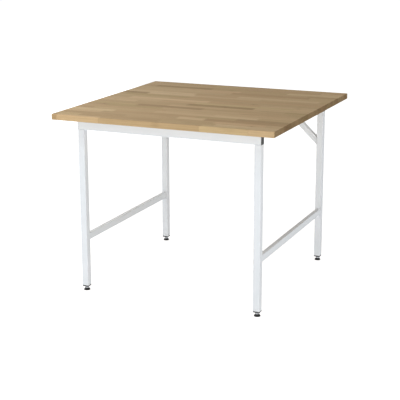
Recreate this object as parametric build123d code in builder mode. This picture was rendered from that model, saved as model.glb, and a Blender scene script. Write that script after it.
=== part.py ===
"""Height-adjustable work table: a jointed hardwood top on a frame of square steel tube, with four screw feet."""
import os
from math import atan2, cos, hypot, sin

from build123d import *

# The table as a whole, with its feet wound in. X runs along the front edge, Y to the back
top_width = 1000.0
top_depth = 1000.0
top_thickness = 25.0
table_height = 800.0
side_overhang = 82.0
end_overhang = 77.0

# The board's eased arrises and its slightly rounded corners
top_arris = 1.5
top_corner = 3.0

# Square legs. The beams are as deep as the legs, so both faces line up
leg_width = 30.0
leg_wall = 2.0
beam_height = 50.0
beam_wall = 2.0

# The rail that ties the two legs of each side, a third of the way up
rail_width = 20.0
rail_height = 30.0
rail_wall = 1.5
rail_middle = 242.0

# The diagonal braces in the two rear corners, measured on their centre lines
brace_width = 25.0
brace_depth = 25.0
brace_wall = 1.5
brace_reach = 150.0
brace_drop = 144.0

# Cold-formed tube: the outside corner radius as a share of the wall
corner_share = 1.5

# Plastic caps and plugs that close the tube ends
beam_cap_flange = 1.2
beam_cap_depth = 10.0
brace_cap_flange = 1.2
brace_cap_depth = 10.0
leg_plug_flange = 5.0
leg_plug_depth = 24.0
plug_core_gap = 2.0
plug_fin = 1.5
plug_fins = 2

# Socket screws inside the beams, each down through the beam's floor into the tapped head of a leg
head_thickness = 8.0
beam_screw_radius = 4.0
beam_screw_length = 16.0
beam_screw_head_radius = 6.5
beam_screw_head_height = 8.0
beam_screw_socket_flats = 6.0
beam_screw_socket_depth = 4.0
beam_screw_from_cap = 2.0
beam_screw_hole_radius = 4.5
beam_screw_access_radius = 9.0

# Wood screws that hold the board down, three along each beam
wood_screws_per_beam = 3
wood_screw_spread = 600.0
wood_screw_radius = 2.3
wood_screw_length = 20.0
wood_screw_tip = 4.0
wood_screw_head_radius = 4.75
wood_screw_head_top_radius = 3.2
wood_screw_head_height = 3.0
wood_screw_hole_radius = 2.75
wood_screw_access_radius = 6.0

# Flat tabs welded behind the braces, each held by a hexagon flange screw in a rivet nut
tab_thickness = 3.0
tab_overlap = 25.0
tab_screw_radius = 3.0
tab_screw_length = 16.0
tab_screw_flats = 8.0
tab_screw_head_height = 5.0
tab_screw_flange_radius = 6.5
tab_screw_flange_thickness = 1.2
tab_hole_radius = 3.3
rivet_flange_radius = 5.5
rivet_flange_thickness = 1.0
rivet_body_radius = 4.5
rivet_body_length = 14.0

# Foot pad: a broad rim, a hub that slopes in two steps, and an undercut socket for the stud
pad_radius = 14.0
pad_rim = 3.4
pad_rim_chamfer = 0.8
pad_shoulder_radius = 11.5
pad_shoulder = 6.6
pad_hub_radius = 8.5
pad_height = 10.0
pad_floor = 3.5

# Foot stud: a snap head and neck in the pad, a hexagon collar for the spanner, and the threaded shank
snap_radius = 4.6
snap_height = 2.0
snap_chamfer = 0.6
neck_radius = 3.6
collar_flats = 17.0
collar_height = 6.0
collar_chamfer = 0.6
stud_radius = 5.0
stud_length = 79.0
stud_chamfer = 1.0
wound_in_gap = 2.9

# The nut that is moulded into each leg plug
foot_nut_flats = 17.0
foot_nut_height = 8.0
foot_nut_above_flange = 8.0
stud_bore_radius = 5.4

# Clearances: a thread in its nut, a pressed or riveted seat, a plug's core in its tube,
# and the pad on its stud, around it and along it
thread_clearance = 0.05
seat_clearance = 0.05
plug_clearance = 0.1
running_clearance = 0.05
collar_gap = 0.1

# One overrun serves all cuts that pass right through
overrun = 1.0

# Places worked out from the sizes above
half_width = top_width / 2 - side_overhang
half_depth = top_depth / 2 - end_overhang
leg_x = half_width - leg_width / 2
leg_y = half_depth - leg_width / 2
board_underside = table_height - top_thickness
beam_underside = board_underside - beam_height
beam_middle = beam_underside + beam_height / 2
beam_length = 2 * (half_width - beam_cap_flange)
beam_screw_x = beam_length / 2 - beam_cap_depth - beam_screw_from_cap - beam_screw_head_radius
leg_top = beam_underside - head_thickness
collar_base = pad_height + collar_gap
collar_top = collar_base + collar_height
plug_underside = collar_top + wound_in_gap
leg_bottom = plug_underside + leg_plug_flange
foot_nut_base = leg_bottom + foot_nut_above_flange
wood_screw_step = wood_screw_spread / (wood_screws_per_beam - 1)
wood_screw_xs = [n * wood_screw_step - wood_screw_spread / 2 for n in range(wood_screws_per_beam)]

# A brace's lower end meets the rear leg's inner face, its upper end the rear beam's underside.
# Its back stands clear of the leg's by the rivet nuts' flanges, so the tabs lie flat on them
brace_angle = atan2(brace_drop, brace_reach)
brace_run = hypot(brace_reach, brace_drop)
brace_foot_x = half_width - leg_width
brace_foot_z = beam_underside - brace_drop
brace_back = half_depth + rivet_flange_thickness
tab_outside = brace_back + tab_thickness

sides = (("left", -1), ("right", 1))
ends = (("front", -1), ("rear", 1))

os.makedirs("parts", exist_ok=True)


def save(piece, name):
    """Labels a finished piece and writes it to its own file."""
    piece.part.label = name
    export_step(piece.part, f"parts/{name}.step")


def outer_corner(wall):
    """Outside corner radius of a tube with this wall."""
    return wall * corner_share


def draw_tube(width, height, wall):
    """Draws the section of a rectangular tube in the open sketch."""
    RectangleRounded(width, height, outer_corner(wall))
    RectangleRounded(width - 2 * wall, height - 2 * wall, outer_corner(wall) - wall, mode=Mode.SUBTRACT)


def draw_core(width, height, wall, gap):
    """Draws a plug's core in the open sketch: the tube's bore less a gap, with its corners cut off."""
    core = Rectangle(width - 2 * (wall + gap), height - 2 * (wall + gap))
    chamfer(core.vertices(), length=outer_corner(wall) - wall)


def bore(plane, radius, depth):
    """Cuts a round hole into the open part, from a plane against its normal."""
    with BuildSketch(plane) as mouth:
        Circle(radius)
    extrude(mouth.sketch, amount=-depth, mode=Mode.SUBTRACT)


def plug(plane, width, height, wall, flange, depth):
    """Adds a tube plug to the open part: a flange over the cut end, a core, and fins that grip the bore.
    The plane lies on the cut end and looks out of the tube."""
    with BuildSketch(plane) as cover:
        RectangleRounded(width, height, outer_corner(wall))
    extrude(cover.sketch, amount=flange)
    with BuildSketch(plane) as core:
        draw_core(width, height, wall, plug_core_gap)
    extrude(core.sketch, amount=-depth)
    for n in range(plug_fins):
        with BuildSketch(plane.offset(-(n + 1) * depth / (plug_fins + 1))) as fin:
            draw_core(width, height, wall, plug_clearance)
        extrude(fin.sketch, amount=-plug_fin)


def tab_screw_places(side):
    """The two screws of a brace's tabs on its centre line, as x, z and the direction away from the brace."""
    out, down = side * cos(brace_angle), -sin(brace_angle)
    low_z = brace_foot_z - (leg_x - brace_foot_x) * brace_drop / brace_reach
    high_x = brace_foot_x - brace_reach - (beam_middle - beam_underside) * brace_reach / brace_drop
    return (side * leg_x, low_z, out, down), (side * high_x, beam_middle, -out, -down)


# Table top: one board, with a pilot hole in its underside for each wood screw
with BuildPart() as table_top:
    with BuildSketch(Plane.XY.offset(board_underside)):
        RectangleRounded(top_width, top_depth, top_corner)
    extrude(amount=top_thickness)
    chamfer(table_top.faces().filter_by(Axis.Z).edges(), length=top_arris)
    for _, end in ends:
        for x in wood_screw_xs:
            underside = Plane((x, end * leg_y, board_underside), z_dir=(0, 0, -1))
            bore(underside, wood_screw_radius + thread_clearance, wood_screw_length - beam_wall + overrun)
save(table_top, "table_top")


# Beams, front and rear: tubes across the leg tops, with screw holes and wider holes for the tool
for end_name, end in ends:
    with BuildPart() as beam:
        cut_end = Plane((-beam_length / 2, end * leg_y, beam_middle), x_dir=(0, 1, 0), z_dir=(1, 0, 0))
        with BuildSketch(cut_end):
            draw_tube(leg_width, beam_height, beam_wall)
        extrude(amount=beam_length)
        for _, side in sides:
            over_leg = Plane((side * beam_screw_x, end * leg_y, board_underside))
            bore(over_leg, beam_screw_access_radius, beam_height / 2)
            bore(over_leg, beam_screw_hole_radius, beam_height + overrun)
        for x in wood_screw_xs:
            over_screw = Plane((x, end * leg_y, board_underside))
            bore(over_screw, wood_screw_hole_radius, beam_height / 2)
            bore(over_screw.offset(-beam_height / 2), wood_screw_access_radius, beam_height / 2 + overrun)
        if end_name == "rear":
            for _, side in sides:
                x, z, _, _ = tab_screw_places(side)[1]
                back = Plane((x, half_depth, z), z_dir=(0, 1, 0))
                bore(back, rivet_body_radius + seat_clearance, leg_width / 2)
    save(beam, f"{end_name}_beam")


# Beam caps: they close the beams' ends, flush with the legs
for end_name, end in ends:
    for side_name, side in sides:
        with BuildPart() as beam_cap:
            cut_end = Plane(
                (side * beam_length / 2, end * leg_y, beam_middle), x_dir=(0, 1, 0), z_dir=(side, 0, 0)
            )
            plug(cut_end, leg_width, beam_height, beam_wall, beam_cap_flange, beam_cap_depth)
        save(beam_cap, f"{end_name}_beam_{side_name}_cap")


# Legs: square tubes. The rear ones have a hole for the brace's rivet nut
for end_name, end in ends:
    for side_name, side in sides:
        with BuildPart() as leg:
            with BuildSketch(Plane((side * leg_x, end * leg_y, leg_bottom))):
                draw_tube(leg_width, leg_width, leg_wall)
            extrude(amount=leg_top - leg_bottom)
            if end_name == "rear":
                x, z, _, _ = tab_screw_places(side)[0]
                back = Plane((x, half_depth, z), z_dir=(0, 1, 0))
                bore(back, rivet_body_radius + seat_clearance, leg_width / 2)
        save(leg, f"{end_name}_{side_name}_leg")


# Leg heads: plates welded on the legs' upper ends, tapped for the screws in the beams
for end_name, end in ends:
    for side_name, side in sides:
        with BuildPart() as leg_head:
            with BuildSketch(Plane((side * leg_x, end * leg_y, leg_top))):
                RectangleRounded(leg_width, leg_width, outer_corner(leg_wall))
            extrude(amount=head_thickness)
            tapped = Plane((side * beam_screw_x, end * leg_y, beam_underside))
            bore(tapped, beam_screw_radius + thread_clearance, head_thickness + overrun)
        save(leg_head, f"{end_name}_{side_name}_leg_head")


# Side rails: tubes welded between the front and the rear leg of each side
for side_name, side in sides:
    rail_length = 2 * (half_depth - leg_width)
    with BuildPart() as rail:
        with BuildSketch(Plane((side * leg_x, -rail_length / 2, rail_middle), x_dir=(1, 0, 0), z_dir=(0, 1, 0))):
            draw_tube(rail_width, rail_height, rail_wall)
        extrude(amount=rail_length)
    save(rail, f"{side_name}_side_rail")


# Leg plugs: closed round the foot nut that is moulded in, and bored for the stud
for end_name, end in ends:
    for side_name, side in sides:
        x, y = side * leg_x, end * leg_y
        with BuildPart() as leg_plug:
            cut_end = Plane((x, y, leg_bottom), z_dir=(0, 0, -1))
            plug(cut_end, leg_width, leg_width, leg_wall, leg_plug_flange, leg_plug_depth)
            over_plug = Plane((x, y, leg_bottom + leg_plug_depth + overrun))
            bore(over_plug, stud_bore_radius, leg_plug_depth + leg_plug_flange + 2 * overrun)
            with BuildSketch(Plane((x, y, foot_nut_base))):
                RegularPolygon(foot_nut_flats / 2 + seat_clearance, 6, major_radius=False)
            extrude(amount=foot_nut_height + seat_clearance, mode=Mode.SUBTRACT)
        save(leg_plug, f"{end_name}_{side_name}_leg_plug")

        with BuildPart() as foot_nut:
            with BuildSketch(Plane((x, y, foot_nut_base))):
                RegularPolygon(foot_nut_flats / 2, 6, major_radius=False)
                Circle(stud_radius + thread_clearance, mode=Mode.SUBTRACT)
            extrude(amount=foot_nut_height)
        save(foot_nut, f"{end_name}_{side_name}_foot_nut")


def mitred_bar(side, growth, cut_back):
    """A solid bar along a brace's centre line, wider than its tube by the growth on every side.
    Its ends lie this far back from the leg's face and from the beam's underside."""
    foot = Vector(side * brace_foot_x, brace_back - brace_depth / 2, brace_foot_z)
    climb = Vector(-side * cos(brace_angle), 0, sin(brace_angle))
    with BuildPart() as bar:
        with BuildSketch(Plane(foot - climb * brace_width, x_dir=(0, 1, 0), z_dir=climb)):
            RectangleRounded(
                brace_depth + 2 * growth, brace_width + 2 * growth, outer_corner(brace_wall) + growth
            )
        extrude(amount=brace_run + 2 * brace_width)
        split(bisect_by=Plane(foot, z_dir=(side, 0, 0)).offset(-cut_back), keep=Keep.BOTTOM)
        split(bisect_by=Plane((0, 0, beam_underside - cut_back)), keep=Keep.BOTTOM)
    return bar.part


# Rear braces: mitred tubes, with a plastic cap in each mitred end
for side_name, side in sides:
    tube_outside = mitred_bar(side, 0, brace_cap_flange)
    tube_bore = mitred_bar(side, -brace_wall, -overrun)
    with BuildPart() as brace:
        add(tube_outside)
        add(tube_bore, mode=Mode.SUBTRACT)
    save(brace, f"{side_name}_brace")

    whole_bar = mitred_bar(side, 0, 0)
    between_flanges = mitred_bar(side, overrun, brace_cap_flange)
    cores = mitred_bar(side, -brace_wall - plug_clearance, brace_cap_flange)
    between_cores = mitred_bar(side, overrun, brace_cap_flange + brace_cap_depth)
    with BuildPart() as brace_caps:
        add(whole_bar)
        add(between_flanges, mode=Mode.SUBTRACT)
        add(cores)
        add(between_cores, mode=Mode.SUBTRACT)
    save(brace_caps, f"{side_name}_brace_caps")


# Brace tabs: flat bars with round ends, welded behind the braces and screwed to the leg and the beam
for side_name, side in sides:
    with BuildPart() as brace_tabs:
        tube_ends = ((side * brace_foot_x, brace_foot_z), (side * (brace_foot_x - brace_reach), beam_underside))
        for (x, z, out_x, out_z), (end_x, end_z) in zip(tab_screw_places(side), tube_ends):
            reach = hypot(x - end_x, z - end_z) + tab_overlap
            middle = (x - out_x * reach / 2, brace_back, z - out_z * reach / 2)
            with BuildSketch(Plane(middle, x_dir=(out_x, 0, out_z), z_dir=(0, 1, 0))):
                SlotCenterToCenter(reach, brace_width)
            extrude(amount=tab_thickness)
            bore(Plane((x, tab_outside, z), z_dir=(0, 1, 0)), tab_hole_radius, tab_thickness + overrun)
    save(brace_tabs, f"{side_name}_brace_tabs")


# Rivet nuts and flange screws of the four tabs
tab_screws = [(x, z) for _, side in sides for x, z, _, _ in tab_screw_places(side)]

with BuildPart() as rivet_nuts:
    for x, z in tab_screws:
        with BuildSketch(Plane((x, half_depth, z), z_dir=(0, 1, 0))):
            Circle(rivet_flange_radius)
        extrude(amount=rivet_flange_thickness)
        with BuildSketch(Plane((x, half_depth, z), z_dir=(0, 1, 0))):
            Circle(rivet_body_radius)
        extrude(amount=-rivet_body_length)
        threaded = Plane((x, brace_back, z), z_dir=(0, 1, 0))
        bore(threaded, tab_screw_radius + thread_clearance, rivet_flange_thickness + rivet_body_length + overrun)
save(rivet_nuts, "brace_rivet_nuts")

with BuildPart() as brace_screws:
    for x, z in tab_screws:
        seat = Plane((x, tab_outside, z), z_dir=(0, 1, 0))
        with BuildSketch(seat):
            Circle(tab_screw_flange_radius)
        extrude(amount=tab_screw_flange_thickness)
        with BuildSketch(seat):
            RegularPolygon(tab_screw_flats / 2, 6, major_radius=False)
        extrude(amount=tab_screw_head_height)
        with BuildSketch(seat):
            Circle(tab_screw_radius)
        extrude(amount=-tab_screw_length)
save(brace_screws, "brace_screws")


# Beam screws: socket heads on the beams' floors, shanks down through the leg heads
with BuildPart() as beam_screws:
    for _, end in ends:
        for _, side in sides:
            seat = Plane((side * beam_screw_x, end * leg_y, beam_underside + beam_wall))
            with BuildSketch(seat):
                Circle(beam_screw_head_radius)
            extrude(amount=beam_screw_head_height)
            with BuildSketch(seat):
                Circle(beam_screw_radius)
            extrude(amount=-beam_screw_length)
            with BuildSketch(seat.offset(beam_screw_head_height)):
                RegularPolygon(beam_screw_socket_flats / 2, 6, major_radius=False)
            extrude(amount=-beam_screw_socket_depth, mode=Mode.SUBTRACT)
save(beam_screws, "beam_screws")


# Wood screws: heads under the beams' upper walls, shanks up into the board
with BuildPart() as top_screws:
    for _, end in ends:
        for x in wood_screw_xs:
            seat = Plane((x, end * leg_y, board_underside - beam_wall), x_dir=(1, 0, 0), z_dir=(0, -1, 0))
            with BuildSketch(seat):
                with BuildLine():
                    Polyline(
                        (0, -wood_screw_head_height),
                        (wood_screw_head_top_radius, -wood_screw_head_height),
                        (wood_screw_head_radius, 0),
                        (wood_screw_radius, 0),
                        (wood_screw_radius, wood_screw_length - wood_screw_tip),
                        (0, wood_screw_length),
                        close=True,
                    )
                make_face()
            revolve(axis=Axis((x, end * leg_y, 0), (0, 0, 1)))
save(top_screws, "top_screws")


# Screw feet: the round pad stands still, while the stud snapped into it turns in the plug's nut
snap_base = pad_floor + collar_gap
snap_top = snap_base + snap_height
lip_base = snap_top + collar_gap

for end_name, end in ends:
    for side_name, side in sides:
        x, y = side * leg_x, end * leg_y
        upright = Plane((x, y, 0), x_dir=(1, 0, 0), z_dir=(0, -1, 0))
        axle = Axis((x, y, 0), (0, 0, 1))
        with BuildPart() as foot_pad:
            with BuildSketch(upright):
                with BuildLine():
                    Polyline(
                        (0, 0),
                        (pad_radius, 0),
                        (pad_radius, pad_rim - pad_rim_chamfer),
                        (pad_radius - pad_rim_chamfer, pad_rim),
                        (pad_shoulder_radius, pad_shoulder),
                        (pad_hub_radius, pad_height),
                        (neck_radius + running_clearance, pad_height),
                        (neck_radius + running_clearance, lip_base),
                        (snap_radius + running_clearance, lip_base),
                        (snap_radius + running_clearance, pad_floor),
                        (0, pad_floor),
                        close=True,
                    )
                make_face()
            revolve(axis=axle)
        save(foot_pad, f"{end_name}_{side_name}_foot_pad")

        with BuildPart() as foot_stud:
            with BuildSketch(upright):
                with BuildLine():
                    Polyline(
                        (0, snap_base),
                        (snap_radius - snap_chamfer, snap_base),
                        (snap_radius, snap_base + snap_chamfer),
                        (snap_radius, snap_top),
                        (neck_radius, snap_top),
                        (neck_radius, collar_base),
                        (stud_radius, collar_base),
                        (stud_radius, collar_top + stud_length - stud_chamfer),
                        (stud_radius - stud_chamfer, collar_top + stud_length),
                        (0, collar_top + stud_length),
                        close=True,
                    )
                make_face()
            revolve(axis=axle)
            with BuildSketch(Plane((x, y, collar_base))):
                RegularPolygon(collar_flats / 2, 6, major_radius=False)
            extrude(amount=collar_height)
            collar_face = foot_stud.faces().filter_by(Axis.Z).sort_by(SortBy.AREA)[-2:].sort_by(Axis.Z)[-1]
            chamfer(collar_face.outer_wire().edges(), length=collar_chamfer)
        save(foot_stud, f"{end_name}_{side_name}_foot_stud")
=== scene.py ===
"""A height-adjustable work table: a finger-jointed hardwood top on a white steel frame with screw feet."""
import math
from functools import cached_property

import bpy
from mathutils import Matrix, Vector


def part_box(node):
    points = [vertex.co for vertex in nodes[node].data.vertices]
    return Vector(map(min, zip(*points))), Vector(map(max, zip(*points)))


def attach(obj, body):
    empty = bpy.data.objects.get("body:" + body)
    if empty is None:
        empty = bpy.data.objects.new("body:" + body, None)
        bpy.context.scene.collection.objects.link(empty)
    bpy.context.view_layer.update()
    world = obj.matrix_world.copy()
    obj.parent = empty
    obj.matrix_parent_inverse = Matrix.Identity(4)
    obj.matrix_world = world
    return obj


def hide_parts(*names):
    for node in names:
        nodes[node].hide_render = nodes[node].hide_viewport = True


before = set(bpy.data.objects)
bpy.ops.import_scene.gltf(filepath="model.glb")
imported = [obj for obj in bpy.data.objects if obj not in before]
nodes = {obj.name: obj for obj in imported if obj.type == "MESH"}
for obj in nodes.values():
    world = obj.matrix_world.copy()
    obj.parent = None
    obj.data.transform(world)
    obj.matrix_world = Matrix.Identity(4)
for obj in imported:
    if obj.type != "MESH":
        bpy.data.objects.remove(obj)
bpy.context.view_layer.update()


# The four legs: square steel tube with its plates welded on, sawn to length.
# The whole frame is powder coated light grey-white after welding, satin, with
# the fine orange peel that the baked powder leaves.

def shade(red, green, blue):
    """A colour as it is seen, 0 to 255, in the linear light that the shader works in."""
    seen = [value / 255 for value in (red, green, blue)]
    return (*[v / 12.92 if v <= 0.04045 else ((v + 0.055) / 1.055) ** 2.4 for v in seen], 1.0)


class Value:
    """A number that varies over a surface, so that shader maths reads as plain arithmetic."""

    def __init__(self, finish, socket):
        self.finish = finish
        self.socket = socket

    def maths(self, operation, *given):
        return self.finish.node("Math", {"operation": operation}, dict(enumerate(given)))

    def __add__(self, other):
        return self.maths("ADD", self, other)

    def __radd__(self, other):
        return self.maths("ADD", other, self)

    def __sub__(self, other):
        return self.maths("SUBTRACT", self, other)

    def __rsub__(self, other):
        return self.maths("SUBTRACT", other, self)

    def __mul__(self, other):
        return self.maths("MULTIPLY", self, other)

    def __rmul__(self, other):
        return self.maths("MULTIPLY", other, self)

    def __truediv__(self, other):
        return self.maths("DIVIDE", self, other)

    def __pow__(self, other):
        return self.maths("POWER", self, other)

    def __lt__(self, other):
        return self.maths("LESS_THAN", self, other)

    def __gt__(self, other):
        return self.maths("GREATER_THAN", self, other)

    def __abs__(self):
        return self.maths("ABSOLUTE", self)

    def floor(self):
        return self.maths("FLOOR", self)

    def sine(self):
        return self.maths("SINE", self)

    def root(self):
        return self.maths("SQRT", self)

    def zigzag(self, half):
        return self.maths("PINGPONG", self, half)

    def or_more(self, other):
        return self.maths("MAXIMUM", self, other)

    def between(self, low, high):
        """0 up to low, 1 from high on, and a smooth rise from one to the other."""
        settings = {"interpolation_type": "SMOOTHSTEP"}
        return self.finish.node("MapRange", settings, {"Value": self, "From Min": low, "From Max": high})


class Finish:
    """The look of one material, or of the studio's surround: its nodes and the shader that they feed."""

    def __init__(self, owner, shader="Principled BSDF"):
        owner.use_nodes = True
        self.owner = owner
        self.tree = owner.node_tree
        self.shader = self.tree.nodes[shader]

    def plug(self, socket, given):
        if isinstance(given, Value):
            self.tree.links.new(given.socket, socket)
        else:
            socket.default_value = given

    def node(self, kind, settings=None, sockets=None, output=0):
        """Any node: its type, its settings, then the values or links of its sockets."""
        made = self.tree.nodes.new("ShaderNode" + kind)
        for name, given in (settings or {}).items():
            if name == "stops":
                while len(made.color_ramp.elements) < len(given):
                    made.color_ramp.elements.new(0.5)
                for stop, (position, colour) in zip(made.color_ramp.elements, given):
                    stop.position = position
                    stop.color = colour
            else:
                setattr(made, name, given)
        for name, given in (sockets or {}).items():
            self.plug(made.inputs[name], given)
        return Value(self, made.outputs[output])

    @cached_property
    def place(self):
        return self.node("TexCoord", output="Object")

    @cached_property
    def x(self):
        return self.node("SeparateXYZ", None, {0: self.place}, "X")

    @cached_property
    def y(self):
        return self.node("SeparateXYZ", None, {0: self.place}, "Y")

    @cached_property
    def z(self):
        return self.node("SeparateXYZ", None, {0: self.place}, "Z")

    def stretched(self, along, across, up, shift=0.0):
        """The place on the surface, with its three directions scaled apart."""
        scaled = {"X": self.x * along + shift, "Y": self.y * across, "Z": self.z * up}
        return self.node("CombineXYZ", None, scaled)

    def noise(self, place, scale=1.0, detail=2.0, roughness=0.5):
        sockets = {"Vector": place, "Scale": scale, "Detail": detail, "Roughness": roughness}
        return self.node("TexNoise", None, sockets)

    def ramp(self, factor, *stops):
        """A colour that goes from stop to stop, each a position and a colour as it is seen."""
        colours = [(position, shade(*seen)) for position, seen in stops]
        return self.node("ValToRGB", {"stops": colours}, {"Fac": factor})

    def tinted(self, first, second):
        """One colour multiplied by another."""
        settings = {"data_type": "RGBA", "blend_type": "MULTIPLY"}
        return self.node("Mix", settings, {0: 1.0, 6: first, 7: second}, 2)

    def bump(self, height, depth, strength=1.0):
        return self.node("Bump", None, {"Height": height, "Distance": depth, "Strength": strength})

    def show(self, **sockets):
        for name, given in sockets.items():
            self.plug(self.shader.inputs[name.replace("_", " ")], given)

    def cover(self, *names):
        """Puts this finish on CAD nodes whose shape is already right."""
        for name in names:
            for place in nodes[name].material_slots:
                place.material = self.owner

    def dress(self, piece):
        """Puts this finish on a new piece, in place of any other."""
        piece.data.materials.clear()
        piece.data.materials.append(self.owner)


peel_scale = 620.0

coat = Finish(bpy.data.materials.new("powder_coat"))
peel = coat.noise(coat.place, scale=peel_scale, detail=3.0, roughness=0.55)
drift = coat.noise(coat.place, scale=9.0)
coat.show(
    Base_Color=coat.ramp(drift, (0.3, (223, 228, 232)), (0.7, (228, 232, 236))),
    Roughness=0.36 + 0.1 * drift + 0.06 * peel,
    IOR=1.5,
    Normal=coat.bump(peel, depth=0.00012, strength=0.35),
)

corners = [(end, side) for end in ("front", "rear") for side in ("left", "right")]
for end, side in corners:
    coat.cover(f"{end}_{side}_leg", f"{end}_{side}_leg_head")


# The two side rails: flat tube welded between a front and a rear leg, low
# enough to leave room for the feet. A small fillet weld runs round each end,
# its ripples softened by the powder coat.

weld_reach = 0.0026
weld_sunk = 0.0010
weld_ripple = 0.0017
weld_unevenness = 0.00012
weld_cuts = 9

coat.cover("left_side_rail", "right_side_rail")

coated_weld = Finish(bpy.data.materials.new("coated_weld"))
weld_peel = coated_weld.noise(coated_weld.place, scale=peel_scale, detail=3.0, roughness=0.55)
weld_drift = coated_weld.noise(coated_weld.place, scale=300.0)
bead = ((coated_weld.x + coated_weld.z) * (2 * math.pi / weld_ripple)).sine() * 0.5
coated_weld.show(
    Base_Color=coated_weld.ramp(weld_drift, (0.3, (219, 224, 228)), (0.7, (228, 232, 236))),
    Roughness=0.40 + 0.1 * weld_peel,
    Normal=coated_weld.bump(bead + 0.5 * weld_peel, depth=0.00018, strength=0.8),
)


def deselect():
    bpy.ops.object.select_all(action="DESELECT")


def finished(piece, finish, body):
    """Gives a new piece its finish and its body."""
    finish.dress(piece)
    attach(piece, body)
    return piece


def weld_round(name, middle, wide, tall, inwards):
    """A fillet weld round the end of a tube that meets a leg square on, sunk a little into the leg."""
    deselect()
    x, y, z = middle
    depth = weld_reach + weld_sunk
    bpy.ops.mesh.primitive_cube_add(size=1, location=(x, y + inwards * (depth / 2 - weld_sunk), z))
    weld = bpy.context.object
    weld.name = name
    weld.scale = (wide + 2 * weld_reach, depth, tall + 2 * weld_reach)
    bpy.ops.object.transform_apply(location=True, scale=True)
    bpy.ops.object.mode_set(mode="EDIT")
    bpy.ops.mesh.select_mode(type="FACE")
    bpy.ops.mesh.select_all(action="DESELECT")
    bpy.ops.object.mode_set(mode="OBJECT")
    for face in weld.data.polygons:
        face.select = face.normal.y * inwards > 0.9
    bpy.ops.object.mode_set(mode="EDIT")
    shrink = (wide / (wide + 2 * weld_reach), 1, tall / (tall + 2 * weld_reach))
    bpy.ops.transform.resize(value=shrink, center_override=(x, y, z))
    bpy.ops.mesh.select_all(action="SELECT")
    bpy.ops.mesh.subdivide(number_cuts=weld_cuts)
    bpy.ops.mesh.vertices_smooth(factor=0.5, repeat=2)
    bpy.ops.transform.vertex_random(offset=weld_unevenness, seed=4)
    bpy.ops.object.mode_set(mode="OBJECT")
    bpy.ops.object.shade_smooth()
    return finished(weld, coated_weld, "frame")


for side in ("left", "right"):
    low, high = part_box(f"{side}_side_rail")
    wide, tall = high.x - low.x, high.z - low.z
    x, z = (low.x + high.x) / 2, (low.z + high.z) / 2
    weld_round(f"{side}_rail_front_weld", (x, low.y, z), wide, tall, 1)
    weld_round(f"{side}_rail_rear_weld", (x, high.y, z), wide, tall, -1)


# The two diagonal braces: square tube with mitred ends in the rear corners,
# each with a tab welded behind both ends for a screw into a rivet nut.

brace_reach = 0.150
brace_drop = 0.144
brace_slope = math.atan2(brace_drop, brace_reach)
brace_half_width = 0.0125
tab_overlap = 0.025
tab_weld_span = math.radians(104)
tab_weld_steps = 26
tab_weld_sunk = 0.0006
tab_weld_reach = 0.0024
tab_weld_height = 0.0025
tab_weld_round = [(0.0024, 0.0002), (0.0019, 0.0012), (0.0008, 0.0021)]

coat.cover("left_brace", "right_brace", "left_brace_tabs", "right_brace_tabs")


def drawn_line(name, points):
    """A line of edges through points (radius, height), drawn point by point."""
    deselect()
    radius, height = points[0]
    bpy.ops.mesh.primitive_plane_add(size=0.001, location=(radius, 0, height))
    line = bpy.context.object
    line.name = name
    bpy.ops.object.transform_apply(location=True)
    bpy.ops.object.mode_set(mode="EDIT")
    bpy.ops.mesh.select_mode(type="VERT")
    bpy.ops.mesh.select_all(action="SELECT")
    bpy.ops.mesh.merge(type="CENTER")
    for (r0, z0), (r1, z1) in zip(points, points[1:]):
        bpy.ops.mesh.extrude_region_move(TRANSFORM_OT_translate={"value": (r1 - r0, 0, z1 - z0)})
    bpy.ops.object.mode_set(mode="OBJECT")
    return line


def turned(name, points, steps, angle=2 * math.pi):
    """A lathe form: the line through points, spun about the upright axis and closed."""
    form = drawn_line(name, points)
    bpy.ops.object.mode_set(mode="EDIT")
    bpy.ops.mesh.select_all(action="SELECT")
    bpy.ops.mesh.spin(steps=steps, angle=angle, center=(0, 0, 0), axis=(0, 0, 1))
    bpy.ops.mesh.select_all(action="SELECT")
    bpy.ops.mesh.remove_doubles(threshold=0.000001)
    bpy.ops.mesh.fill_holes(sides=0)
    bpy.ops.mesh.normals_make_consistent(inside=False)
    bpy.ops.object.mode_set(mode="OBJECT")
    return form


def tab_weld(name, x, z, towards):
    """A weld round a tab's rounded end, on the back of its brace. The end points towards that angle."""
    radius = brace_half_width
    low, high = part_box("right_brace_tabs")
    section = [
        (radius - tab_weld_sunk, -tab_weld_sunk),
        (radius + tab_weld_reach, -tab_weld_sunk),
        *[(radius + out, up) for out, up in tab_weld_round],
        (radius - tab_weld_sunk, tab_weld_height),
        (radius - tab_weld_sunk, -tab_weld_sunk),
    ]
    weld = turned(name, section, tab_weld_steps, tab_weld_span)
    weld.matrix_world = (
        Matrix.Translation((x, low.y, z))
        @ Matrix.Rotation(towards, 4, "Y")
        @ Matrix.Rotation(-math.pi / 2, 4, "X")
        @ Matrix.Rotation(tab_weld_span / 2, 4, "Z")
    )
    bpy.ops.object.transform_apply(location=True, rotation=True)
    bpy.ops.object.mode_set(mode="EDIT")
    bpy.ops.mesh.select_all(action="SELECT")
    bpy.ops.transform.vertex_random(offset=weld_unevenness, seed=7)
    bpy.ops.object.mode_set(mode="OBJECT")
    bpy.ops.object.shade_smooth_by_angle(angle=math.radians(60))
    return finished(weld, coated_weld, "frame")


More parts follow.
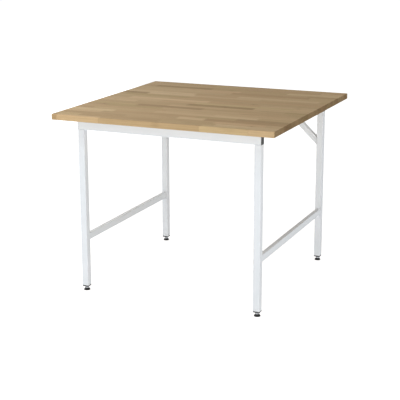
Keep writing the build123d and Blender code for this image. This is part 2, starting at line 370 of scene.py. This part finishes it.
leg_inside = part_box("rear_right_leg")[0].x
beam_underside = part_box("rear_beam")[0].z
run, rise = math.cos(brace_slope), math.sin(brace_slope)
low_x = leg_inside - tab_overlap * run
low_z = beam_underside - brace_drop + tab_overlap * rise
high_x = leg_inside - brace_reach + tab_overlap * run
high_z = beam_underside - tab_overlap * rise
for side, way in (("left", -1), ("right", 1)):
    tab_weld(f"{side}_brace_lower_tab_weld", way * low_x, low_z, math.atan2(-rise, -way * run))
    tab_weld(f"{side}_brace_upper_tab_weld", way * high_x, high_z, math.atan2(rise, way * run))


# The front and rear beams: rectangular tube laid over the leg tops, screwed
# down into the leg heads and up into the board.

coat.cover("front_beam", "rear_beam")


# Plastic caps and plugs: injection moulded polyethylene, black, with the fine
# spark-eroded grain of the mould, pressed into the beam and leg tube ends.

moulded = Finish(bpy.data.materials.new("black_moulding"))
grain = moulded.noise(moulded.place, scale=2400.0, roughness=0.6)
flow = moulded.noise(moulded.place, scale=60.0, detail=3.0)
moulded.show(
    Base_Color=moulded.ramp(flow, (0.25, (17, 18, 18)), (0.75, (29, 30, 30))),
    Roughness=0.40 + 0.12 * grain + 0.06 * flow,
    Specular_IOR_Level=0.36,
    Normal=moulded.bump(grain, depth=0.00004, strength=0.5),
)

for end, side in corners:
    moulded.cover(f"{end}_beam_{side}_cap", f"{end}_{side}_leg_plug")
# The brace caps are thin black rims on the braces' mitred ends, where these butt against the legs and the
# beam; they draw a dark line along those seams.
moulded.cover("left_brace_caps", "right_brace_caps")


# Screws and nuts: cold-headed steel, bright zinc plated. Plating is a little
# uneven and shows faint turning marks, so its gloss drifts.

zinc = Finish(bpy.data.materials.new("bright_zinc"))
plating = zinc.noise(zinc.place, scale=240.0, detail=4.0, roughness=0.6)
turning = zinc.noise(zinc.stretched(300.0, 300.0, 5200.0))
zinc.show(
    Base_Color=zinc.ramp(plating, (0.3, (146, 149, 153)), (0.7, (180, 182, 185))),
    Metallic=1.0,
    Roughness=0.24 + 0.16 * plating + 0.06 * turning,
    Normal=zinc.bump(turning, depth=0.00002, strength=0.4),
)

zinc.cover("brace_rivet_nuts", "brace_screws", "beam_screws", "top_screws")
for end, side in corners:
    zinc.cover(f"{end}_{side}_foot_nut")


# The foot studs: M10 threaded rod with a 17 mm hexagon collar for the spanner
# and a snap head that clips into the pad. Turned and rolled steel, bright zinc
# plated. The thread runs up through the nut in the leg plug.

thread_pitch = 0.0015
thread_radius = 0.005
thread_depth = 0.00092
thread_flat = 0.00012
thread_steps = 20
stud_top = 0.0951
collar_bottom = 0.0101
collar_top = 0.0161
collar_flat_radius = 0.0085
collar_corner_radius = collar_flat_radius / math.cos(math.pi / 6)
collar_chamfer = 0.0009
collar_face_step = 0.0003
thread_smoothing = 30
snap_bottom = 0.0036
snap_top = 0.0056
snap_radius = 0.0046
snap_chamfer = 0.0006
neck_radius = 0.0036
lathe_steps = 40
merge_reach = 0.00001


def select_alone(piece):
    deselect()
    piece.select_set(True)
    bpy.context.view_layer.objects.active = piece


def worked(piece, kind, **settings):
    """Puts one modifier on a piece and applies it."""
    select_alone(piece)
    modifier = piece.modifiers.new(kind.title(), kind)
    for name, given in settings.items():
        setattr(modifier, name, given)
    bpy.ops.object.modifier_apply(modifier=modifier.name)
    return piece


def joined(name, *pieces):
    select_alone(pieces[0])
    for piece in pieces:
        piece.select_set(True)
    bpy.ops.object.join()
    pieces[0].name = name
    return pieces[0]


def smoothed(piece, degrees):
    select_alone(piece)
    bpy.ops.object.shade_smooth_by_angle(angle=math.radians(degrees))
    return piece


def copy_at(piece, name, x, y):
    """A copy of a finished piece with its own mesh, moved into its place."""
    again = piece.copy()
    again.data = piece.data.copy()
    again.name = name
    bpy.context.collection.objects.link(again)
    select_alone(again)
    again.location = (x, y, 0)
    bpy.ops.object.transform_apply(location=True)
    return again


def removed(piece):
    select_alone(piece)
    bpy.ops.object.delete()


def foot_axis(end, side):
    low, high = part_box(f"{end}_{side}_foot_stud")
    return (low.x + high.x) / 2, (low.y + high.y) / 2


first_turn = collar_top - 2 * thread_pitch
crest = first_turn + thread_pitch / 2
root_radius = thread_radius - thread_depth
thread = drawn_line(
    "thread",
    [
        (root_radius, first_turn),
        (thread_radius, crest - thread_flat),
        (thread_radius, crest + thread_flat),
        (root_radius, first_turn + thread_pitch),
    ],
)
worked(
    thread,
    "SCREW",
    angle=2 * math.pi,
    screw_offset=thread_pitch,
    iterations=math.ceil((stud_top - first_turn) / thread_pitch) + 1,
    steps=thread_steps,
    render_steps=thread_steps,
    use_merge_vertices=True,
    merge_threshold=merge_reach,
)
bpy.ops.object.mode_set(mode="EDIT")
for cut, below in ((collar_top, True), (stud_top, False)):
    bpy.ops.mesh.select_all(action="SELECT")
    bpy.ops.mesh.remove_doubles(threshold=merge_reach)
    bpy.ops.mesh.bisect(
        plane_co=(0, 0, cut), plane_no=(0, 0, 1), use_fill=True, clear_inner=below, clear_outer=not below
    )
bpy.ops.mesh.select_all(action="SELECT")
bpy.ops.mesh.normals_make_consistent(inside=False)
bpy.ops.object.mode_set(mode="OBJECT")

deselect()
bpy.ops.mesh.primitive_cylinder_add(
    vertices=6,
    radius=collar_corner_radius,
    depth=collar_top - collar_bottom,
    location=(0, 0, (collar_top + collar_bottom) / 2),
    rotation=(0, 0, math.pi / 6),
)
collar = bpy.context.object
bpy.ops.object.transform_apply(location=True, rotation=True)
collar_turning = turned(
    "collar_turning",
    [
        (0, collar_bottom),
        (collar_flat_radius - collar_face_step, collar_bottom),
        (collar_corner_radius, collar_bottom + collar_chamfer),
        (collar_corner_radius, collar_top - collar_chamfer),
        (collar_flat_radius - collar_face_step, collar_top),
        (0, collar_top),
    ],
    lathe_steps,
)
worked(collar, "BOOLEAN", operation="INTERSECT", object=collar_turning, solver="EXACT")
removed(collar_turning)

snap = turned(
    "snap",
    [
        (0, snap_bottom),
        (snap_radius - snap_chamfer, snap_bottom),
        (snap_radius, snap_bottom + snap_chamfer),
        (snap_radius, snap_top),
        (neck_radius, snap_top),
        (neck_radius, collar_bottom),
        (0, collar_bottom),
    ],
    lathe_steps,
)
stud = smoothed(joined("stud", thread, collar, snap), thread_smoothing)
for end, side in corners:
    piece = copy_at(stud, f"{end}_{side}_threaded_stud", *foot_axis(end, side))
    finished(piece, zinc, f"{end}_{side}_screw")
    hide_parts(f"{end}_{side}_foot_stud")
removed(stud)


# The foot pads: one black moulding each, with a flat foot, a rim and a hub
# that slopes up to the stud. They clip onto the stud's head and stand still
# while it turns.

pad_radius = 0.0140
pad_height = 0.0100
rim_height = 0.0026
rim_chamfer = 0.0008
slope_radius, slope_height = 0.0115, 0.0066
hub_radius = 0.0085
inner_ring_start = 0.0062
inner_ring_end = 0.0076
outer_ring_start = 0.0098
ring_height = 0.0006
ring_slope = 0.0004
socket_play = 0.00005
socket_lift = 0.0001
pad_steps = 72
pad_bevel = 0.00035
pad_bevel_from = 18
pad_smoothing = 40

pad = turned(
    "pad",
    [
        (0, ring_height),
        (inner_ring_start - ring_slope, ring_height),
        (inner_ring_start, 0),
        (inner_ring_end, 0),
        (inner_ring_end + ring_slope, ring_height),
        (outer_ring_start - ring_slope, ring_height),
        (outer_ring_start, 0),
        (pad_radius, 0),
        (pad_radius, rim_height),
        (pad_radius - rim_chamfer, rim_height + rim_chamfer),
        (slope_radius, slope_height),
        (hub_radius, pad_height),
        (neck_radius + socket_play, pad_height),
        (neck_radius + socket_play, snap_top + socket_lift),
        (snap_radius + socket_play, snap_top + socket_lift),
        (snap_radius + socket_play, snap_bottom - socket_lift),
        (0, snap_bottom - socket_lift),
    ],
    pad_steps,
)
worked(
    pad,
    "BEVEL",
    width=pad_bevel,
    segments=3,
    limit_method="ANGLE",
    angle_limit=math.radians(pad_bevel_from),
)
smoothed(pad, pad_smoothing)
for end, side in corners:
    piece = copy_at(pad, f"{end}_{side}_moulded_pad", *foot_axis(end, side))
    finished(piece, moulded, f"{end}_{side}_foot")
    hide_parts(f"{end}_{side}_foot_pad")
removed(pad)


# The top: short hardwood staves finger-jointed end to end into rows, the rows
# glued side by side, planed, sanded and oiled. It is held down by wood screws
# from below, so its surface is unbroken.

board_low, board_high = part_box("table_top")
stave_rows = 23
stave_width = (board_high.y - board_low.y) / stave_rows
stave_length = 0.30
front_row_sawn_share = 0.5
row_spread = 50.0
phase_spread = 40.0
glue_wander_share = 0.08
glue_seam_edge = 0.0001, 0.0005
joint_wander_share = 0.62
joint_seam_edge = 0.0002, 0.0012
finger_length = 0.010
finger_pitch = 0.004
pith_below_board = 0.040
pith_spread_across, pith_spread_down = 0.11, 0.05
ring_width = 0.0028
slow_growth, growth_spread = 0.7, 0.9
knots_per_metre = 5.0
knot_share = 0.28
knot_shift_x, knot_shift_y = 0.31, 0.17
knot_squeeze = 1.25
knot_spread = 91.0
knot_edge = 0.0012, 0.0042
swerve_edge = 0.002, 0.028

# Seeds of the draws, picked so that the darker staves lie about where the photograph shows them
row_seed, joint_seed, tone_seed = 3.0, 1153.0, 1028.0
glue_seed, hue_seed, pith_seed, phase_seed, ring_seed = 71.0, 57.0, 83.0, 29.0, 3.0

wood = Finish(bpy.data.materials.new("finger_jointed_hardwood"))


def random_number(*places):
    """A steady random number for each whole place, such as a row or a stave in its row."""
    if len(places) == 1:
        return wood.node("TexWhiteNoise", {"noise_dimensions": "1D"}, {"W": places[0]})
    where = wood.node("CombineXYZ", None, {"X": places[0], "Y": places[1]})
    return wood.node("TexWhiteNoise", {"noise_dimensions": "2D"}, {"Vector": where})


across = (wood.y - board_low.y) / stave_width + front_row_sawn_share
glue_line = (across + 0.5).floor()
glue_place = glue_line + glue_wander_share * (random_number(glue_line + glue_seed) - 0.5)
row = glue_line - (across < glue_place)
glue_gap = abs(across - glue_place) * stave_width

along = wood.x / stave_length + row_spread * random_number(row + row_seed)
joint_line = (along + 0.5).floor()
fingers = (wood.y.zigzag(finger_pitch / 2) / (finger_pitch / 2) - 0.5) * (finger_length / stave_length)
joint_wander = joint_wander_share * (random_number(row + joint_seed, joint_line) - 0.5)
joint_place = joint_line + joint_wander + fingers
stave = joint_line - (along < joint_place)
joint_gap = abs(along - joint_place) * stave_length

tone_draw = random_number(row + tone_seed, stave)
hue_draw = random_number(row + hue_seed, stave)
pith_draw = random_number(row + pith_seed, stave)
phase = phase_spread * random_number(row + phase_seed, stave)

stave_tone = wood.ramp(
    tone_draw,
    (0.00, (161, 132, 95)),
    (0.08, (168, 140, 102)),
    (0.17, (182, 154, 114)),
    (0.50, (189, 161, 121)),
    (0.85, (196, 168, 128)),
    (1.00, (205, 178, 138)),
)
stave_hue = wood.ramp(
    hue_draw,
    (0.0, (250, 254, 246)),
    (0.3, (254, 255, 255)),
    (0.8, (255, 254, 253)),
    (1.0, (255, 251, 250)),
)

knot_place = {"X": wood.x + knot_shift_x, "Y": wood.y * knot_squeeze + knot_shift_y}
cells = {"Vector": wood.node("CombineXYZ", None, knot_place), "Scale": knots_per_metre}
knot_gap = wood.node("TexVoronoi", {"voronoi_dimensions": "2D"}, cells) / knots_per_metre
cell_colour = wood.node("TexVoronoi", {"voronoi_dimensions": "2D"}, cells, "Color")
cell_number = wood.node("RGBToBW", None, {"Color": cell_colour}) * knot_spread
has_knot = random_number(cell_number) > 1 - knot_share
knot = (1.0 - knot_gap.between(*knot_edge)) * has_knot
swerve = (1.0 - knot_gap.between(*swerve_edge)) * has_knot

warp = wood.noise(wood.stretched(2.0, 13.0, 13.0, phase)) - 0.5
ripple = wood.noise(wood.stretched(11.0, 90.0, 90.0, phase), detail=3.0, roughness=0.6) - 0.5
pith_side = (across - row - 0.5) * stave_width + pith_spread_across * (pith_draw - 0.5) + 0.020 * warp
pith_depth = wood.z - (board_low.z - pith_below_board) + pith_spread_down * hue_draw
ring_radius = (pith_side * pith_side + pith_depth * pith_depth).root()
grown = ring_radius + 0.010 * warp + 0.0024 * ripple + 0.006 * swerve
rings = grown / (ring_width * (slow_growth + growth_spread * pith_draw))
ring_count = rings.floor()
ring_age = rings - ring_count
ring_strength = 0.25 + 0.75 * random_number(ring_count + ring_seed, stave)
late_wood = ring_age * ring_age * ring_strength
early_wood = (1.0 - ring_age.between(0.0, 0.35)) * ring_strength

fibre = wood.noise(wood.stretched(13.0, 1000.0, 1000.0, phase), detail=4.0, roughness=0.62)
cloud = wood.noise(wood.stretched(3.0, 42.0, 42.0, phase))
streak = wood.noise(wood.stretched(4.5, 210.0, 210.0, phase + 7.0), detail=3.0, roughness=0.6)
vessels = wood.noise(wood.stretched(170.0, 2600.0, 2600.0, phase), detail=1.0)
pores = (vessels + 0.13 * early_wood).between(0.64, 0.78)
seam = 1.0 - glue_gap.between(*glue_seam_edge) * joint_gap.between(*joint_seam_edge)

facing = wood.node("TexCoord", output="Normal")
end_grain = abs(wood.node("SeparateXYZ", None, {0: facing}, "X")).between(0.55, 0.8)

depth_of_tone = (
    1.02
    - 0.13 * late_wood
    - 0.32 * (fibre - 0.5)
    - 0.28 * (cloud - 0.5)
    - 0.46 * (streak - 0.5)
    - 0.30 * pores
    - 0.15 * seam
    - 0.52 * end_grain
    - 0.55 * knot
    - 0.10 * swerve
)
figure = wood.node(
    "CombineColor",
    None,
    {"Red": depth_of_tone, "Green": depth_of_tone ** 1.08, "Blue": depth_of_tone ** 1.22},
)
wood.show(
    Base_Color=wood.tinted(wood.tinted(stave_tone, stave_hue), figure),
    Roughness=0.64 + 0.16 * fibre + 0.10 * end_grain + 0.06 * pores,
    Specular_IOR_Level=0.18,
    Normal=wood.bump(0.5 * fibre - 0.8 * pores - seam, depth=0.00012, strength=0.5),
)
wood.cover("table_top")


# The studio: a white floor in four quarters, one under each foot and riding with it,
# that glows a little as a light table does and keeps a faint shadow, an even pale
# surround, five softboxes, and the camera at the photograph's place.

white = (1, 1, 1, 1)
floor_reach = 30.0
floor_light, floor_seen = 0.24, 0.77
surround_light, surround_seen = 0.32, 1.0
camera_place = (1.8620, -4.2992, 1.6070)
camera_yaw, camera_pitch, camera_roll = 0.4299, 0.2426, -0.0054


def glow(finish, light, seen):
    """The strength light, but seen where the camera, a reflection or a clear part looks at it."""
    looked_at = finish.node("LightPath", output="Is Camera Ray")
    for other in ("Is Glossy Ray", "Is Transmission Ray"):
        looked_at = looked_at.or_more(finish.node("LightPath", output=other))
    return looked_at * (seen - light) + light


floor = Finish(bpy.data.materials.new("white_floor"))
floor.show(
    Base_Color=shade(236, 236, 236),
    Roughness=1.0,
    Specular_IOR_Level=0.0,
    Emission_Color=white,
    Emission_Strength=glow(floor, floor_light, floor_seen),
)
for end, side in corners:
    deselect()
    x, y = [math.copysign(floor_reach / 2, place) for place in foot_axis(end, side)]
    bpy.ops.mesh.primitive_plane_add(size=floor_reach, location=(x, y, 0))
    quarter = bpy.context.object
    quarter.name = f"{end}_{side}_floor"
    bpy.ops.object.transform_apply(location=True)
    floor.dress(quarter)
    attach(quarter, f"{end}_{side}_foot")

surround = Finish(bpy.data.worlds.new("surround"), "Background")
surround.show(Color=white, Strength=glow(surround, surround_light, surround_seen))
bpy.context.scene.world = surround.owner


def softbox(name, place, aim, width, power):
    """A square lamp of that width, in metres, turned to what it lights."""
    deselect()
    bpy.ops.object.light_add(type="AREA", location=place)
    lamp = bpy.context.object
    lamp.name = name
    lamp.data.shape = "SQUARE"
    lamp.data.size = width
    lamp.data.energy = power
    lamp.rotation_euler = (Vector(place) - Vector(aim)).to_track_quat("Z", "Y").to_euler()


softbox("overhead_softbox", (-0.2, -0.2, 3.3), (0, 0, 0.8), width=2.6, power=8.0)
softbox("front_softbox", (-1.0, -3.8, 0.72), (-0.1, 0, 0.55), width=1.4, power=35.5)
softbox("left_softbox", (-0.9, -1.0, 2.0), (-0.3, -0.3, 0.8), width=0.9, power=9.5)
softbox("right_softbox", (4.8, -3.1, 1.3), (0, -0.2, 0.4), width=2.8, power=108.0)
softbox("rear_softbox", (-3.6, 4.0, 1.3), (0, 0.2, 0.45), width=2.4, power=36.0)

bpy.ops.object.camera_add()
camera = bpy.context.object
camera.name = "camera"
camera.matrix_world = (
    Matrix.Translation(camera_place)
    @ Matrix.Rotation(camera_yaw, 4, "Z")
    @ Matrix.Rotation(math.pi / 2 - camera_pitch, 4, "X")
    @ Matrix.Rotation(camera_roll, 4, "Z")
)
camera.data.sensor_width = 36.0
camera.data.lens = 95.89
camera.data.shift_x = 0.0375
camera.data.shift_y = -0.05
bpy.context.scene.camera = camera
bpy.context.scene.view_settings.view_transform = "Standard"
